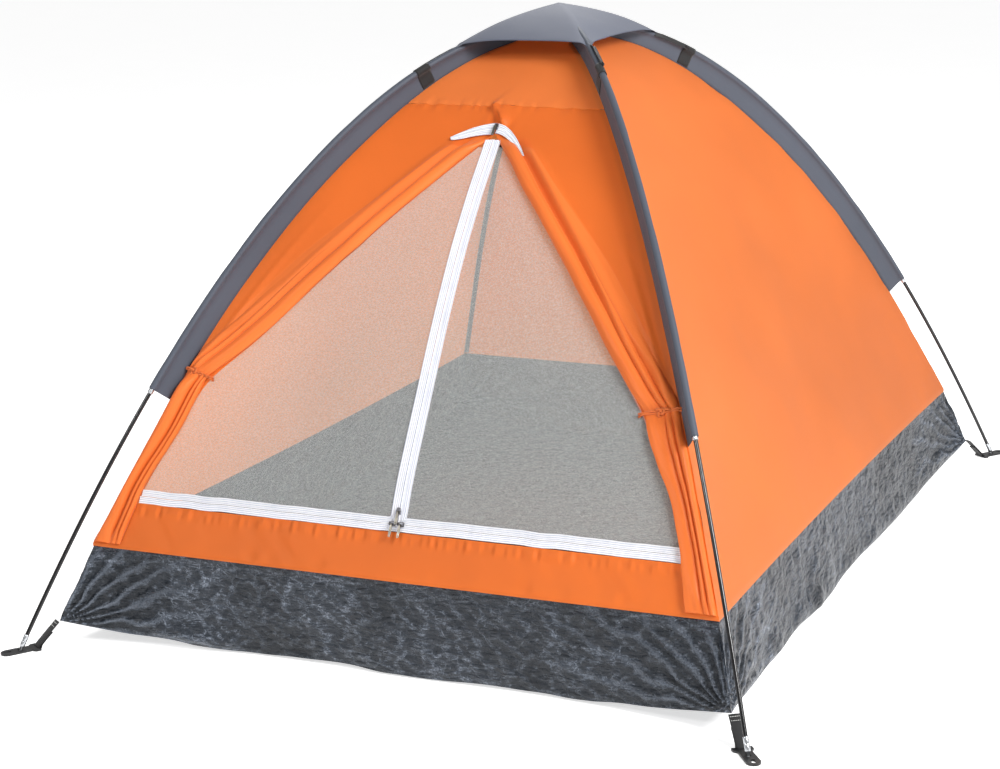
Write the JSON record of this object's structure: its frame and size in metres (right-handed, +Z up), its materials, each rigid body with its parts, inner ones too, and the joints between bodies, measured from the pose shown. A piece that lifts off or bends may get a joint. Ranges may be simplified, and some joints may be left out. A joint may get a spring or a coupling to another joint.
{
  "type": "dome tent",
  "caption": "Two-person dome tent on two crossed, shock-corded poles, with an orange canopy, zipped mesh door, grey bathtub floor and rain cap.",
  "frame": {"origin": "on the ground, under the middle of the tent's overall box", "axes": "+X to the right along the front, +Y to the back (the door faces -Y), +Z up"},
  "size_m": [1.4934, 2.054, 1.155],
  "materials": {
    "orange_polyester": "plain-woven polyester, slight sheen",
    "grey_polyester": "plain-woven polyester",
    "tarp": "woven polyethylene sheet, crinkled and glossy",
    "netting": "fine insect netting",
    "zip_tape": "white woven tape with nylon coil",
    "fibreglass": "glossy black",
    "steel": "bright",
    "webbing": "black woven webbing",
    "elastic_cord": "braided cover",
    "tab_plastic": "moulded black"
  },
  "bodies": {
    "tent_frame": {"pole_a_section_1": "fibreglass", "pole_a_section_2": "fibreglass", "pole_a_section_3": "fibreglass", "pole_a_section_4": "fibreglass", "pole_a_section_5": "fibreglass", "pole_a_section_6": "fibreglass", "pole_a_shock_cord": "elastic_cord", "pole_a_end_cap_front": "steel", "pole_a_end_cap_back": "steel", "pole_b_section_1": "fibreglass", "pole_b_section_2": "fibreglass", "pole_b_section_3": "fibreglass", "pole_b_section_4": "fibreglass", "pole_b_section_5": "fibreglass", "pole_b_section_6": "fibreglass", "pole_b_shock_cord": "elastic_cord", "pole_b_end_cap_front": "steel", "pole_b_end_cap_back": "steel", "pole_sleeve_front_left": "grey_polyester", "sleeve_band_front_left": "webbing", "foot_tab_front_left": "tab_plastic", "corner_strap_front_left": "webbing", "pole_sleeve_front_right": "grey_polyester", "sleeve_band_front_right": "webbing", "foot_tab_front_right": "tab_plastic", "corner_strap_front_right": "webbing", "pole_sleeve_back_right": "grey_polyester", "sleeve_band_back_right": "webbing", "foot_tab_back_right": "tab_plastic", "corner_strap_back_right": "webbing", "pole_sleeve_back_left": "grey_polyester", "sleeve_band_back_left": "webbing", "foot_tab_back_left": "tab_plastic", "corner_strap_back_left": "webbing", "roof_vent_mesh": "netting", "canopy_front_header": "orange_polyester", "canopy_front_wall": "orange_polyester", "canopy_left_wall": "orange_polyester", "canopy_right_wall": "orange_polyester", "canopy_back_wall": "orange_polyester", "outer_door_left": "orange_polyester", "outer_door_right": "orange_polyester", "door_tie_left": "orange_polyester", "door_tie_right": "orange_polyester", "zip_tape_sill": "zip_tape", "outer_zip_tape": "zip_tape", "outer_slider": "steel", "groundsheet": "tarp"},
    "mesh_half_left": {"mesh_door_left": "netting", "zip_tape_left": "zip_tape"},
    "mesh_half_right": {"mesh_door_right": "netting", "zip_tape_right": "zip_tape"},
    "cap": {"rain_cap": "grey_polyester"},
    "centre_zip_slider": {"centre_slider": "steel"},
    "left_zip_slider": {"sill_slider_left": "steel"},
    "right_zip_slider": {"sill_slider_right": "steel"},
    "centre_zip_pull": {"centre_pull": "steel"},
    "left_zip_pull": {"sill_pull_left": "steel"},
    "right_zip_pull": {"sill_pull_right": "steel"},
    "outer_zip_pull": {"outer_pull": "steel"}
  },
  "joints": [
    {"name": "mesh_half_left_hinge", "type": "hinge", "parent": "tent_frame", "child": "mesh_half_left", "pos_m": [-0.56285, -0.7981, 0.3002], "axis": [0.5589, 0.4897, 0.6692], "range_deg": [0, 80]},
    {"name": "mesh_half_right_hinge", "type": "hinge", "parent": "tent_frame", "child": "mesh_half_right", "pos_m": [0.56276, -0.79787, 0.30016], "axis": [0.559, -0.4886, -0.6699], "range_deg": [0, 80]},
    {"name": "cap_lift", "type": "slide", "parent": "tent_frame", "child": "cap", "axis": [0, 0, 1], "range_m": [0, 0.2]},
    {"name": "centre_zip_travel", "type": "slide", "parent": "tent_frame", "child": "centre_zip_slider", "axis": [0, 0.5157, 0.8568], "range_m": [0, 0.15]},
    {"name": "left_zip_travel", "type": "slide", "parent": "tent_frame", "child": "left_zip_slider", "axis": [-1, 0, 0], "range_m": [0, 0.48]},
    {"name": "right_zip_travel", "type": "slide", "parent": "tent_frame", "child": "right_zip_slider", "axis": [1, 0, 0], "range_m": [0, 0.48]},
    {"name": "centre_pull_flip", "type": "hinge", "parent": "centre_zip_slider", "child": "centre_zip_pull", "pos_m": [0, -0.81448, 0.29835], "axis": [-1, 0, 0], "range_deg": [0, 110]},
    {"name": "left_pull_flip", "type": "hinge", "parent": "left_zip_slider", "child": "left_zip_pull", "pos_m": [-0.0085, -0.82516, 0.27686], "axis": [-1, 0, 0], "range_deg": [0, 110]},
    {"name": "right_pull_flip", "type": "hinge", "parent": "right_zip_slider", "child": "right_zip_pull", "pos_m": [0.0085, -0.82516, 0.27686], "axis": [-1, 0, 0], "range_deg": [0, 110]},
    {"name": "outer_pull_flip", "type": "hinge", "parent": "tent_frame", "child": "outer_zip_pull", "pos_m": [0, -0.33562, 0.94138], "axis": [-1, 0, 0], "range_deg": [0, 110]}
  ]
}
